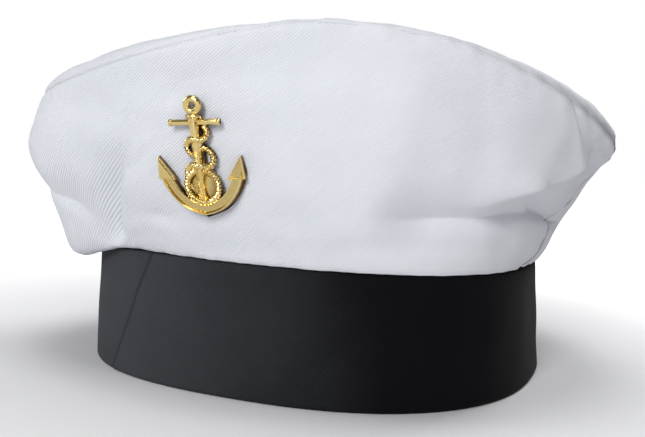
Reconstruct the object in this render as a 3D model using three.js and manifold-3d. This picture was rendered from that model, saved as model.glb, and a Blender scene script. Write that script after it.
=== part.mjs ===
// A sailor cap: a soft white crown on a stiff black head band, with a cast anchor badge at the front.
//
// Millimetres. +Z is up and the front of the cap faces -Y. The origin is the middle of the head
// opening, level with the lower edge of the band, which is what the cap stands on.
// An azimuth is in degrees round the cap: 0 at the front, growing towards +X.
//
// The crown has a front and a back wall panel, sewn to the band below, to each other at two side
// seams, and to the domed top panel at the rim. Its wall is described by a table of sections round
// the cap and a table of folds, so that it slumps and creases as soft twill does.

import * as THREE from 'three';
import { mergeVertices } from 'three/addons/utils/BufferGeometryUtils.js';
import Module from 'manifold-3d';

const wasm = await Module();
wasm.setup();

// ---------------------------------------------------------------- driving dimensions

const SEAM_GAP = 0.3; // between pieces that meet
const SIDE_GAP = 0.45; // between the wall's panels, whose edges twist as they rise
const CLOTH = 1.6; // crown twill with its fusing

const BAND = {
  height: 46,
  thickness: 2.6,
  halfWidth: 88.9, // outside, at the lower edge
  halfDepth: 96.9,
  squareness: 2.45, // 2 would be a plain oval
  lean: 2, // how much narrower the upper edge is, each side
  shift: new THREE.Vector2(-2.3, -0.6), // how far the upper edge has slumped aside
  edge: 0.4, // softening of its edges
};

const ROOT_PROUD = 0.6; // the wall's lower edge stands this far outside the band
const DOME_CENTRE = 121; // height of the middle of the top panel
const SHOULDER = 0.14; // share of the top panel's radius that rolls over at the rim

// One row for each section: the rim's radius and height, how far the wall bellies out between band
// and rim, how far it sags over the band, and how far the top panel puffs up inside the rim.
const SECTIONS = [
  { azimuth: -150, radius: 118.5, height: 90, belly: 9, sag: 2, puff: 6 },
  { azimuth: -110, radius: 114, height: 94, belly: 8, sag: 0, puff: 6 },
  { azimuth: -80, radius: 115.5, height: 97, belly: 10, sag: 1, puff: 6 },
  { azimuth: -55, radius: 122, height: 100, belly: 14, sag: 8, puff: 6 },
  { azimuth: -40, radius: 122.5, height: 102.5, belly: 14, sag: 8, puff: 6 },
  { azimuth: -25, radius: 120.5, height: 107.5, belly: 9, sag: 1, puff: 6 },
  { azimuth: -10, radius: 119, height: 114, belly: 6, sag: 0, puff: 5 },
  { azimuth: 5, radius: 119, height: 120.5, belly: 4, sag: 0, puff: 3 },
  { azimuth: 20, radius: 119, height: 123.8, belly: 4, sag: 0, puff: 2 },
  { azimuth: 35, radius: 119, height: 121.5, belly: 4, sag: 0, puff: 2 },
  { azimuth: 50, radius: 118, height: 114, belly: 3, sag: 0, puff: 4 },
  { azimuth: 65, radius: 116.5, height: 105, belly: 0, sag: 0, puff: 6 },
  { azimuth: 80, radius: 115, height: 97.5, belly: -3, sag: 0, puff: 7 },
  { azimuth: 100, radius: 114, height: 92, belly: -3, sag: 0, puff: 7 },
  { azimuth: 140, radius: 117, height: 88, belly: 3, sag: 2, puff: 6 },
  { azimuth: 175, radius: 120, height: 88, belly: 8, sag: 2, puff: 6 },
];

// One row for each fold of the wall. It is centred at an azimuth and a share of the way from band
// to rim, runs for a length at an angle to the horizontal, and has a width and a depth, out if
// positive.
const FOLDS = [
  { azimuth: 58, share: 0.36, length: 46, width: 4.5, lie: 6, depth: -4.5 }, // deep crease
  { azimuth: 58, share: 0.5, length: 35, width: 8, lie: 20, depth: 3.5 }, // pouch over it
  { azimuth: 50, share: 0.26, length: 42, width: 4.5, lie: 6, depth: 1.5 }, // roll below it
  { azimuth: 46, share: 0.15, length: 30, width: 4, lie: 0, depth: -1.8 },
  { azimuth: 88, share: 0.12, length: 30, width: 9, lie: 0, depth: 2.4 },
  { azimuth: 88, share: 0.72, length: 30, width: 10, lie: 0, depth: -1.5 },
  { azimuth: -46, share: 0.07, length: 22, width: 5, lie: 0, depth: 6.5 }, // pouch on the band
  { azimuth: -48, share: 0.27, length: 27, width: 9, lie: 0, depth: -5.5 }, // tuck over it
  { azimuth: -21, share: 0.38, length: 25, width: 5, lie: 57, depth: -3 }, // slanting crease
  { azimuth: 10, share: 0.85, length: 80, width: 7, lie: 0, depth: -1.5 }, // dip under the rim
  { azimuth: -13, share: 0.2, length: 8, width: 4, lie: 0, depth: -0.8 },
  { azimuth: 150, share: 0.3, length: 40, width: 7, lie: -5, depth: -4 },
  { azimuth: 165, share: 0.55, length: 45, width: 9, lie: 4, depth: 3 },
  { azimuth: -140, share: 0.35, length: 42, width: 8, lie: 7, depth: -4 },
  { azimuth: -105, share: 0.5, length: 24, width: 6, lie: 70, depth: -2.5 },
];
const FOLD_RADIUS = 110; // arc lengths and heights that the fold table is drawn on
const FOLD_HEIGHT = 70;
const HOLD = 20; // how sharply the folds die out at the band and at the rim

const TURN_IN = 0.22; // share of the wall over which its cut ends turn level
const SAG_SHARE = 0.12; // where along the wall the sag is greatest
const WALL_ROWS = 15; // the same in both panels, so that their seam edges run side by side
const SIDE_SEAM = { foot: 77, sweep: 23 }; // azimuth at the band, and how far back it leans

const BADGE = {
  azimuth: -1.6,
  share: 0.224, // where the anchor's point sits, as a share of the wall
  tilt: 4, // turned anticlockwise, seen from the front
  reach: 22, // from its middle to its furthest point
  middle: 19.5, // its middle, above its point
};
const ANCHOR = {
  thickness: 2, // of the arms
  armBevel: 0.7,
  tip: new THREE.Vector2(14.2, 19.8),
  ringHeight: 37.2,
  ringRadius: 2.08,
  ringWire: 1.13,
  stockHeight: 31.8,
  stockHalfLength: 8.7,
  stockRadius: 1.1,
  shankFoot: 6.5,
  shankRadii: { foot: 1.9, top: 1.35 },
  neck: { radius: 1.1, footRadius: 1.5, length: 4, rise: 2.6, out: 1.3 }, // joins the ring to the stock
  coilHeight: 10.8,
  coilRadius: 5.5,
  coilDisc: 1.6, // thickness of the plate inside the coil
  eye: { x: -3, rise: 0.2, radius: 1.1, thickness: 0.8, out: 1.9 }, // a small boss on the plate
  ropeRadius: 0.95,
};
const PIN = { height: 17, radius: 0.9, hole: 1.35, disc: 4.5, discThickness: 1.2 };

const MATERIALS = {
  whiteTwill: { color: 0xe6e8ee, roughness: 0.85, metalness: 0 },
  blackTwill: { color: 0x17181c, roughness: 0.8, metalness: 0 },
  gold: { color: 0xd9a53a, roughness: 0.28, metalness: 1 },
  steel: { color: 0x9fa1a3, roughness: 0.4, metalness: 1 },
};

// ---------------------------------------------------------------- the surfaces of the cap

const radians = THREE.MathUtils.degToRad;

// A direction from the axis, level, at an azimuth.
function outward(azimuth) {
  return new THREE.Vector3(Math.sin(radians(azimuth)), -Math.cos(radians(azimuth)), 0);
}

// A table's column as a smooth function of the azimuth, closed round the cap.
function roundTheCap(rows, column) {
  const count = rows.length;
  const turnOf = (i) => Math.floor(i / count);
  const rowOf = (i) => rows[i - count * turnOf(i)];
  const azimuthOf = (i) => rowOf(i).azimuth + 360 * turnOf(i);
  const valueOf = (i) => rowOf(i)[column];
  const slopeAt = (i) => (valueOf(i + 1) - valueOf(i - 1)) / (azimuthOf(i + 1) - azimuthOf(i - 1));
  return (azimuth) => {
    const turned = THREE.MathUtils.euclideanModulo(azimuth - rows[0].azimuth, 360) + rows[0].azimuth;
    let i = count - 1;
    while (azimuthOf(i) > turned) i -= 1;
    const span = azimuthOf(i + 1) - azimuthOf(i);
    const s = (turned - azimuthOf(i)) / span;
    const fromHere = (1 + 2 * s) * (1 - s) ** 2 * valueOf(i) + s * (1 - s) ** 2 * span * slopeAt(i);
    const fromNext = s * s * (3 - 2 * s) * valueOf(i + 1) - s * s * (1 - s) * span * slopeAt(i + 1);
    return fromHere + fromNext;
  };
}

const rimRadius = roundTheCap(SECTIONS, 'radius');
const rimHeight = roundTheCap(SECTIONS, 'height');
const belly = roundTheCap(SECTIONS, 'belly');
const sag = roundTheCap(SECTIONS, 'sag');
const puff = roundTheCap(SECTIONS, 'puff');

// Distance from the axis to the outside of the band's lower edge: a slightly squared oval.
function bandRadius(azimuth) {
  const across = Math.abs(Math.sin(radians(azimuth))) / BAND.halfWidth;
  const along = Math.abs(Math.cos(radians(azimuth))) / BAND.halfDepth;
  return (across ** BAND.squareness + along ** BAND.squareness) ** (-1 / BAND.squareness);
}

// A point of the band, at a height and a depth below its outer face.
function bandPoint(azimuth, height, depth) {
  const share = height / BAND.height;
  const point = outward(azimuth).multiplyScalar(bandRadius(azimuth) - BAND.lean * share - depth);
  point.x += BAND.shift.x * share;
  point.y += BAND.shift.y * share;
  point.z = height;
  return point;
}

// How far the folds push the wall out, or pull it in.
function foldDepth(azimuth, share) {
  let depth = 0;
  for (const fold of FOLDS) {
    const turn = THREE.MathUtils.euclideanModulo(azimuth - fold.azimuth + 180, 360) - 180;
    const x = radians(turn) * FOLD_RADIUS;
    const y = (share - fold.share) * FOLD_HEIGHT;
    const lie = radians(fold.lie);
    const along = (x * Math.cos(lie) + y * Math.sin(lie)) / fold.length;
    const across = (y * Math.cos(lie) - x * Math.sin(lie)) / fold.width;
    depth += fold.depth * Math.exp(-along * along - across * across);
  }
  return depth * (1 - (1 - share) ** HOLD) * (1 - share ** HOLD);
}

// The outer face of the crown's wall: share 0 is its root on the band and 1 is the rim.
function wallSurface(azimuth, share) {
  const away = outward(azimuth);
  const root = bandPoint(azimuth, BAND.height, -ROOT_PROUD);
  root.z += SEAM_GAP;
  const rim = away.clone().multiplyScalar(rimRadius(azimuth));
  rim.z = rimHeight(azimuth);
  const point = root.lerp(rim, share);
  point.addScaledVector(away, belly(azimuth) * Math.sin(Math.PI * share) + foldDepth(azimuth, share));
  const reach = share / SAG_SHARE;
  point.z -= sag(azimuth) * reach * Math.exp(1 - reach);
  return point;
}

// How far the top panel has rolled over at its edge: 0 where it is still flat and 1 at the rim.
function rollOver(share) {
  return Math.max(0, (share - 1 + SHOULDER) / SHOULDER);
}

// The outer face of the top panel: share 0 is its middle and 1 is the rim.
function topSurface(azimuth, share) {
  const rolled = rollOver(share);
  const lift = puff(azimuth) * Math.sqrt(1 - Math.min(1, rolled) ** 2);
  const radius = rimRadius(azimuth) * share + 0.15 * puff(azimuth) * Math.sin(Math.PI * rolled);
  const point = outward(azimuth).multiplyScalar(radius);
  point.z = THREE.MathUtils.lerp(DOME_CENTRE, rimHeight(azimuth), share ** 3) + lift * share ** 2;
  point.z += SEAM_GAP;
  return point;
}

const NUDGE = { azimuth: 0.5, share: 0.004 }; // steps for measuring a surface's slope

// A surface's normal, from points either side: out of the wall, and down into the top panel.
function normalOf(surface, azimuth, share) {
  const low = Math.max(0, share - NUDGE.share);
  const high = Math.min(1, share + NUDGE.share);
  const round = surface(azimuth + NUDGE.azimuth, share).sub(surface(azimuth - NUDGE.azimuth, share));
  const up = surface(azimuth, high).sub(surface(azimuth, low));
  return round.cross(up).normalize();
}

// ---------------------------------------------------------------- making closed bodies

// Moves each vertex of a closed starter shape to its place, and welds the faces into one body.
function reshape(geometry, place) {
  geometry.deleteAttribute('normal');
  geometry.deleteAttribute('uv');
  geometry.clearGroups();
  const body = mergeVertices(geometry);
  const positions = body.getAttribute('position');
  const vertex = new THREE.Vector3();
  for (let i = 0; i < positions.count; i += 1) {
    vertex.fromBufferAttribute(positions, i);
    const placed = place(vertex);
    positions.setXYZ(i, placed.x, placed.y, placed.z);
  }
  body.computeVertexNormals();
  return body;
}

// A ring or a dome: a profile of (distance, height) turned through a full circle, whose vertices
// are placed by their azimuth, distance and height.
function turned(profile, segments, place) {
  const points = profile.map(([distance, height]) => new THREE.Vector2(distance, height));
  const lathe = new THREE.LatheGeometry(points, segments);
  return reshape(lathe, (vertex) => {
    const azimuth = THREE.MathUtils.radToDeg(Math.atan2(vertex.x, vertex.z));
    return place(azimuth, Math.hypot(vertex.x, vertex.z), vertex.y);
  });
}

function solidOf(geometry) {
  const plain = geometry.clone();
  plain.deleteAttribute('normal');
  plain.deleteAttribute('uv');
  plain.clearGroups();
  const welded = mergeVertices(plain);
  return new wasm.Manifold(new wasm.Mesh({
    numProp: 3,
    vertProperties: new Float32Array(welded.getAttribute('position').array),
    triVerts: new Uint32Array(welded.getIndex().array),
  }));
}

function geometryOf(solid) {
  const mesh = solid.getMesh();
  const geometry = new THREE.BufferGeometry();
  geometry.setAttribute('position', new THREE.BufferAttribute(mesh.vertProperties, 3));
  geometry.setIndex(new THREE.BufferAttribute(mesh.triVerts, 1));
  geometry.computeVertexNormals();
  return geometry;
}

function namedMesh(name, geometry, finish) {
  const mesh = new THREE.Mesh(geometry, new THREE.MeshStandardMaterial(finish));
  mesh.name = name;
  return mesh;
}

// ---------------------------------------------------------------- head band

// A closed ring of stiff twill, flat on its lower edge, with softened edges.
function headBand() {
  const { height, thickness, edge } = BAND;
  const profile = [
    [-edge, 0],
    [0, edge],
    [0, height - edge],
    [-edge, height],
    [edge - thickness, height],
    [-thickness, height - edge],
    [-thickness, edge],
    [edge - thickness, 0],
    [-edge, 0],
  ];
  const datum = 10; // keeps the starter profile clear of the axis
  const shifted = profile.map(([depth, level]) => [datum + depth, level]);
  return turned(shifted, 64, (azimuth, distance, level) => bandPoint(azimuth, level, datum - distance));
}

// ---------------------------------------------------------------- crown

// A point in the cloth of the wall. The cut ends are level, so that they meet the band and the top
// panel squarely, and the cloth turns into them over a short way.
function wallPoint(azimuth, share, depth) {
  const point = wallSurface(azimuth, share);
  const level = Math.max(0, 1 - Math.min(share, 1 - share) / TURN_IN);
  const through = normalOf(wallSurface, azimuth, share).lerp(outward(azimuth), level).normalize();
  return point.addScaledVector(through, -depth);
}

// The side seams lean back from the band to the rim, the same on both sides.
function seamAzimuth(share) {
  const halfGap = THREE.MathUtils.radToDeg(SIDE_GAP / 2 / FOLD_RADIUS);
  const azimuth = SIDE_SEAM.foot + SIDE_SEAM.sweep * (1 - (1 - share) ** 2);
  return { front: azimuth - halfGap, back: azimuth + halfGap };
}

// A wall panel between two seams: a flat slab of cloth, laid on the wall's surface.
function wallPanel(startAzimuth, endAzimuth, columns) {
  const slab = new THREE.BoxGeometry(1, 1, 1, columns, WALL_ROWS, 1);
  return reshape(slab, (vertex) => {
    const share = THREE.MathUtils.clamp(vertex.y + 0.5, 0, 1);
    const azimuth = THREE.MathUtils.lerp(startAzimuth(share), endAzimuth(share), vertex.x + 0.5);
    return wallPoint(azimuth, share, (0.5 - vertex.z) * CLOTH);
  });
}

function frontPanel() {
  return wallPanel((share) => -seamAzimuth(share).front, (share) => seamAzimuth(share).front, 42);
}

function backPanel() {
  return wallPanel((share) => seamAzimuth(share).back, (share) => 360 - seamAzimuth(share).back, 28);
}

// The domed panel on top. It rolls over at its edge and meets the wall at the rim, with a level
// cut end.
function crownTop() {
  const rollAngles = [0, 24, 46, 68, 90];
  const rolled = rollAngles.map((angle) => 1 - SHOULDER * (1 - Math.sin(radians(angle))));
  const over = [0, 0.22, 0.42, 0.6, 0.74, ...rolled].map((share) => [share, 1]);
  const under = [0, 0.4, 0.7, ...rolled].map((share) => [share, 0]);
  const profile = [...under, ...over.reverse()];
  return turned(profile, 64, (azimuth, distance, side) => {
    const share = Math.min(1, distance);
    const point = topSurface(azimuth, share);
    if (side > 0.5) return point;
    const atMiddle = distance < 0.0001;
    const normal = atMiddle ? new THREE.Vector3(0, 0, 1) : normalOf(topSurface, azimuth, share).negate();
    normal.lerp(outward(azimuth), rollOver(share) ** 2).normalize();
    return point.addScaledVector(normal, -CLOTH);
  });
}

// ---------------------------------------------------------------- anchor badge

// The badge's own frame: x to the right, y up from the anchor's point and z out from the cloth.
// It lies flat, just clear of the cloth under it.
function badgeFrame() {
  const foot = wallSurface(BADGE.azimuth, BADGE.share);
  const middleShare = BADGE.share + BADGE.middle / FOLD_HEIGHT;
  const out = normalOf(wallSurface, BADGE.azimuth, middleShare);
  const up = new THREE.Vector3(0, 0, 1).projectOnPlane(out).normalize();
  up.applyAxisAngle(out, radians(BADGE.tilt));
  const right = up.clone().cross(out);
  const middle = foot.clone().addScaledVector(up, BADGE.middle);
  let highest = 0;
  for (let turn = -12; turn <= 12; turn += 1) {
    for (let rise = 0; rise <= 1; rise += 0.04) {
      const offset = wallSurface(BADGE.azimuth + turn, rise).sub(middle);
      const height = offset.dot(out);
      const away = Math.sqrt(Math.max(0, offset.lengthSq() - height * height));
      if (away < BADGE.reach) highest = Math.max(highest, height);
    }
  }
  foot.addScaledVector(out, highest + SEAM_GAP);
  return new THREE.Matrix4().makeBasis(right, up, out).setPosition(foot);
}

// Arms and flukes: a pointed crescent with barbed ends, cut from plate with sloping sides.
function anchorArms() {
  const { tip } = ANCHOR;
  const outline = new THREE.Shape();
  outline.moveTo(0, 0);
  outline.bezierCurveTo(6.8, 2.4, 14.2, 7.4, 14.9, 15.2);
  outline.lineTo(tip.x, tip.y);
  outline.lineTo(9.3, 13.6);
  outline.lineTo(10.2, 13.1);
  outline.bezierCurveTo(9.2, 10, 5.4, 6.4, 0, 5.8);
  outline.bezierCurveTo(-5.4, 6.4, -9.2, 10, -10.2, 13.1);
  outline.lineTo(-9.3, 13.6);
  outline.lineTo(-tip.x, tip.y);
  outline.lineTo(-14.9, 15.2);
  outline.bezierCurveTo(-14.2, 7.4, -6.8, 2.4, 0, 0);
  const arms = new THREE.ExtrudeGeometry(outline, {
    depth: ANCHOR.thickness - ANCHOR.armBevel,
    bevelThickness: ANCHOR.armBevel,
    bevelSize: ANCHOR.armBevel,
    bevelOffset: -ANCHOR.armBevel,
    bevelSegments: 1,
    curveSegments: 7,
  });
  const back = new THREE.BoxGeometry(60, 60, 2).translate(0, 0, -1);
  return solidOf(arms).subtract(solidOf(back));
}

// A straight bar with a six-sided section, flat side to the cloth, from one point to another.
function sixSidedBar(from, to, startRadius, endRadius) {
  const along = to.clone().sub(from);
  const bar = new THREE.CylinderGeometry(endRadius, startRadius, along.length(), 6);
  bar.translate(0, along.length() / 2, 0);
  bar.applyQuaternion(new THREE.Quaternion().setFromUnitVectors(new THREE.Vector3(0, 1, 0), along.normalize()));
  bar.translate(from.x, from.y, from.z);
  return bar;
}

// The rope winds down the shank: over it twice and behind it once, and ends in the coil.
function anchorRope() {
  const route = [
    [2.8, 30.8, 1.1],
    [3.7, 28.4, 1.1],
    [2.4, 26.5, 1.8],
    [0.4, 26.6, 2.9],
    [-2.4, 26.2, 1.9],
    [-3.9, 24.1, 1.1],
    [-3, 21.6, 1],
    [-0.6, 21.2, 0.9],
    [1.8, 23.2, 0.9],
    [3.7, 22.3, 1],
    [4.8, 19.8, 1.1],
    [3.6, 17.6, 1.7],
    [0.6, 18, 2.9],
    [-2.6, 17.9, 2.1],
    [-4.6, 16.3, 1.2],
    [-4.9, 14, 1.1],
  ];
  const curve = new THREE.CatmullRomCurve3(route.map((place) => new THREE.Vector3(...place)));
  const section = new THREE.Shape();
  section.absarc(0, 0, ANCHOR.ropeRadius, 0, 2 * Math.PI);
  return new THREE.ExtrudeGeometry(section, { steps: 36, extrudePath: curve, curveSegments: 4, bevelEnabled: false });
}

// The whole badge is one casting: ring, stock, shank, arms, rope and rope coil.
function anchorCasting() {
  const { ringHeight, ringRadius, ringWire, stockHeight, stockHalfLength, stockRadius } = ANCHOR;
  const { coilHeight, coilRadius, coilDisc, ropeRadius, shankRadii, neck: throat, eye: boss } = ANCHOR;
  const ring = new THREE.TorusGeometry(ringRadius, ringWire, 8, 16).translate(0, ringHeight, ringWire);
  const neck = new THREE.CylinderGeometry(throat.radius, throat.footRadius, throat.length, 8);
  neck.translate(0, stockHeight + throat.rise, throat.out);
  const stockEnd = new THREE.Vector3(stockHalfLength, stockHeight, 1.5);
  const stock = sixSidedBar(stockEnd.clone().setX(-stockHalfLength), stockEnd, stockRadius, stockRadius);
  const shankTop = new THREE.Vector3(0, stockHeight + 1, 1.4);
  const shankFoot = new THREE.Vector3(0, ANCHOR.shankFoot, 1.8);
  const shank = sixSidedBar(shankFoot, shankTop, shankRadii.foot, shankRadii.top);
  const coil = new THREE.TorusGeometry(coilRadius, ropeRadius, 8, 24).translate(0, coilHeight, 1.3);
  const disc = new THREE.CylinderGeometry(coilRadius, coilRadius, coilDisc, 24).rotateX(Math.PI / 2);
  disc.translate(0, coilHeight, coilDisc / 2);
  const eye = new THREE.CylinderGeometry(boss.radius, boss.radius, boss.thickness, 8).rotateX(Math.PI / 2);
  eye.translate(boss.x, coilHeight + boss.rise, boss.out);
  const clothSide = new THREE.BoxGeometry(60, 90, 4).translate(0, 20, -2);
  let casting = anchorArms();
  for (const piece of [ring, neck, stock, shank, coil, disc, eye, anchorRope()]) {
    casting = casting.add(solidOf(piece));
  }
  return geometryOf(casting.subtract(solidOf(clothSide)));
}

// How far behind the badge the cloth's outer face is, at the pin.
function clothBehindPin(frame) {
  const pinFoot = new THREE.Vector3(0, PIN.height, 0).applyMatrix4(frame);
  const out = new THREE.Vector3().setFromMatrixColumn(frame, 2);
  const share = BADGE.share + PIN.height / FOLD_HEIGHT;
  return pinFoot.sub(wallSurface(BADGE.azimuth, share)).dot(out);
}

// A plain rod along the badge's z, from one height to another.
function rod(radius, low, high) {
  const geometry = new THREE.CylinderGeometry(radius, radius, high - low, 16).rotateX(Math.PI / 2);
  return geometry.translate(0, PIN.height, (low + high) / 2);
}

// The pin that holds the badge: a rod through the cloth with a disc inside the crown.
function badgePin(frame) {
  const clothFace = -clothBehindPin(frame);
  const discTop = clothFace - CLOTH - 2 * SEAM_GAP;
  const shaft = rod(PIN.radius, discTop - PIN.discThickness / 2, -SEAM_GAP);
  const disc = rod(PIN.disc, discTop - PIN.discThickness, discTop);
  return geometryOf(solidOf(shaft).add(solidOf(disc)));
}

// The front panel has a small hole for the pin.
function piercedFrontPanel(frame) {
  const depth = clothBehindPin(frame) + 2 * CLOTH;
  const hole = rod(PIN.hole, -depth, 1).applyMatrix4(frame);
  return geometryOf(solidOf(frontPanel()).subtract(solidOf(hole)));
}

// ---------------------------------------------------------------- the cap

const badgePlace = badgeFrame();

const badge = new THREE.Group();
badge.add(namedMesh('anchor_badge', anchorCasting(), MATERIALS.gold));
badge.add(namedMesh('badge_pin', badgePin(badgePlace), MATERIALS.steel));
badge.applyMatrix4(badgePlace);

const cap = new THREE.Group();
cap.add(namedMesh('head_band', headBand(), MATERIALS.blackTwill));
cap.add(namedMesh('side_panel_front', piercedFrontPanel(badgePlace), MATERIALS.whiteTwill));
cap.add(namedMesh('side_panel_back', backPanel(), MATERIALS.whiteTwill));
cap.add(namedMesh('crown_top', crownTop(), MATERIALS.whiteTwill));
cap.add(badge);

export default cap;
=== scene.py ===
"""The looks of a sailor cap: a soft white twill crown, a stiff black band and a gold anchor badge.

Metres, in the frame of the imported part: +Z is up, the front of the cap faces -Y, and the origin is the
middle of the head opening, level with the band's lower edge. An azimuth is in degrees round the cap,
0 at the front and growing towards +X.
"""

import math

import bmesh
import bpy
import numpy as np
from mathutils import Matrix, Vector


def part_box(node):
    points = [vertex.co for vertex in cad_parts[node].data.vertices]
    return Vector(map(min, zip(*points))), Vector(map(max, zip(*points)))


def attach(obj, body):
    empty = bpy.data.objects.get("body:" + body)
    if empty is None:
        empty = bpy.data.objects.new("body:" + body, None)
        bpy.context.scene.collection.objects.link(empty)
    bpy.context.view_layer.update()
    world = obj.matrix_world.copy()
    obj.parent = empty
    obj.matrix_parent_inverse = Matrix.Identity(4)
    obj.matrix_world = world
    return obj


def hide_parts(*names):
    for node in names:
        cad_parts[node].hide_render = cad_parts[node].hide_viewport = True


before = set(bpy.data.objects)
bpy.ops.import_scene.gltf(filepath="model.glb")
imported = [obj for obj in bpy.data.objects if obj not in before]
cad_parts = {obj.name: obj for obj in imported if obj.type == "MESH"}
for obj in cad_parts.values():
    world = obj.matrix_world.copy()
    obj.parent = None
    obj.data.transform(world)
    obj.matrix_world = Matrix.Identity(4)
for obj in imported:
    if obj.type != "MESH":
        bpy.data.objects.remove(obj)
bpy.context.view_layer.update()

# ------------------------------------------------------------------ driving dimensions

BAND_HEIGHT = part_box("head_band")[1].z
BAND_THICKNESS = 0.0026
BAND_HALF_WIDTH = 0.0889
BAND_HALF_DEPTH = 0.0969
BAND_SQUARENESS = 2.45  # 2 would be a plain oval
BAND_LEAN = 0.002  # how much narrower the upper edge is, each side
BAND_SHIFT = (-0.0023, -0.0006)  # how far the upper edge has slumped aside
BAND_WAVE = 0.0003
# the slanting lapped seam: azimuths of its ends, height of the lap with the degrees in which it eases off
# and steps down, and depth of the groove beside it with its reach in degrees
BAND_SEAM = {
    "top": -19.0, "foot": -32.0, "lap": 0.00045, "ease": 5.0, "step": 0.2,
    "groove": 0.0005, "groove_reach": 0.35,
}

CLOTH = 0.0013
ROOT_PROUD = 0.0006  # how far the crown's root stands off the band
DOME_CENTRE = 0.121  # height of the middle of the top panel
TOP_REACH = 0.12  # how far the top panel's cloth runs from its middle to the rim
SHOULDER = 0.14  # share of the top panel that rolls down to the rim
SIDE_SEAM_FOOT = 77.0
SIDE_SEAM_SWEEP = 23.0
SAG_SHARE = 0.12  # share of the way up at which the cloth sags most
FOLD_RADIUS = 0.110  # radius and height of the wall on which folds and creases are measured
FOLD_HEIGHT = 0.070
HOLD = 20  # how firmly the wall's edges hold it against the folds

# azimuth, rim radius, rim height, belly, sag and puff of each section round the cap
SECTIONS = np.array([
    (-150, 0.1185, 0.0900, 0.009, 0.002, 0.006),
    (-110, 0.1140, 0.0940, 0.008, 0.000, 0.006),
    (-80, 0.1155, 0.0970, 0.010, 0.001, 0.006),
    (-55, 0.1220, 0.1000, 0.014, 0.0095, 0.006),
    (-40, 0.1225, 0.1025, 0.014, 0.0105, 0.006),
    (-25, 0.1205, 0.1075, 0.009, 0.0025, 0.006),
    (-10, 0.1190, 0.1140, 0.006, 0.000, 0.005),
    (5, 0.1190, 0.1205, 0.004, 0.000, 0.003),
    (20, 0.1190, 0.1238, 0.004, 0.000, 0.002),
    (35, 0.1190, 0.1215, 0.004, 0.000, 0.002),
    (50, 0.1180, 0.1140, 0.003, 0.000, 0.004),
    (65, 0.1165, 0.1050, 0.000, 0.000, 0.006),
    (80, 0.1150, 0.0975, -0.003, 0.000, 0.007),
    (100, 0.1140, 0.0920, -0.003, 0.000, 0.007),
    (140, 0.1170, 0.0880, 0.003, 0.002, 0.006),
    (175, 0.1200, 0.0880, 0.008, 0.002, 0.006),
])

# azimuth, share of the way up, length, width, lie in degrees and depth of each broad fold, out if positive
FOLDS = [
    (58, 0.50, 0.035, 0.008, 20, 0.0020),
    (44, 0.14, 0.034, 0.0035, 2, -0.0010),
    (88, 0.12, 0.030, 0.009, 0, 0.0024),
    (88, 0.72, 0.030, 0.010, 0, -0.0015),
    (-44, 0.10, 0.024, 0.007, 0, 0.0032),
    (-50, 0.30, 0.027, 0.009, 0, -0.0028),
    (10, 0.85, 0.080, 0.007, 0, -0.0018),
    (-13, 0.21, 0.007, 0.0025, -8, -0.0011),
    (-19.5, 0.15, 0.006, 0.0025, 20, 0.0007),
    (-23, 0.08, 0.006, 0.0016, 35, -0.0007),
    (-5, 0.80, 0.009, 0.0035, 12, -0.0009),
    (-18, 0.72, 0.020, 0.006, -28, -0.0011),
    (-52, 0.62, 0.030, 0.012, -20, 0.0015),
    (150, 0.30, 0.040, 0.007, -5, -0.0030),
    (165, 0.55, 0.045, 0.009, 4, 0.0030),
    (-140, 0.35, 0.042, 0.008, 7, -0.0030),
    (-105, 0.50, 0.024, 0.006, 70, -0.0022),
    (-128, 0.75, 0.030, 0.009, 25, 0.0020),
    (125, 0.68, 0.028, 0.008, -30, -0.0018),
]

# route as (azimuth, share) points, depth, width to the left and to the right of the route, and how
# far along each end it fades in and out
CREASES = [
    # the deep crease on the right, under a pouch
    (
        ((25, 0.25), (35, 0.25), (46, 0.285), (58, 0.335), (70, 0.39), (84, 0.41)),
        -0.0098, 0.0080, 0.0065, 0.3, 0.35,
    ),
    # the undercut that carries it round to the side
    (
        ((56, 0.60), (64, 0.50), (74, 0.425), (86, 0.39), (97, 0.38), (112, 0.40)),
        -0.0052, 0.0085, 0.0030, 0.35, 0.4,
    ),
    # the sharp edge of the pouch, rising to the rim
    (
        ((43, 0.33), (50, 0.38), (57, 0.48), (64, 0.57), (72, 0.72), (76, 0.93)),
        0.0058, 0.0130, 0.0042, 0.4, 0.25,
    ),
    # the upright crease beside the badge
    (
        ((-26.5, 0.05), (-26.5, 0.15), (-25, 0.25), (-22, 0.40), (-17, 0.56), (-11, 0.68)),
        -0.0072, 0.0055, 0.0036, 0.2, 0.6,
    ),
    (((-26, 0.30), (-20, 0.42), (-14, 0.50), (-8, 0.60)), -0.0010, 0.0025, 0.0025, 0.5, 0.5),
    # the tuck over the pouch on the left
    (((-66, 0.42), (-50, 0.42), (-38, 0.38), (-32, 0.29), (-28, 0.18)), -0.0036, 0.0085, 0.0034, 0.3, 0.4),
    # the back
    (((118, 0.33), (135, 0.27), (152, 0.26), (170, 0.30), (186, 0.36)), -0.0062, 0.0085, 0.0045, 0.35, 0.35),
    (((198, 0.36), (212, 0.28), (228, 0.26), (244, 0.30)), -0.0058, 0.0080, 0.0045, 0.35, 0.4),
    (((168, 0.62), (186, 0.55), (203, 0.57), (218, 0.66)), -0.0036, 0.0090, 0.0040, 0.4, 0.4),
    (((-118, 0.12), (-113, 0.30), (-104, 0.52), (-99, 0.72)), -0.0040, 0.0060, 0.0035, 0.35, 0.4),
]
CREASE_ROUND = 0.0007  # how sharply a crease turns
CREASE_STEPS = 28

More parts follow.
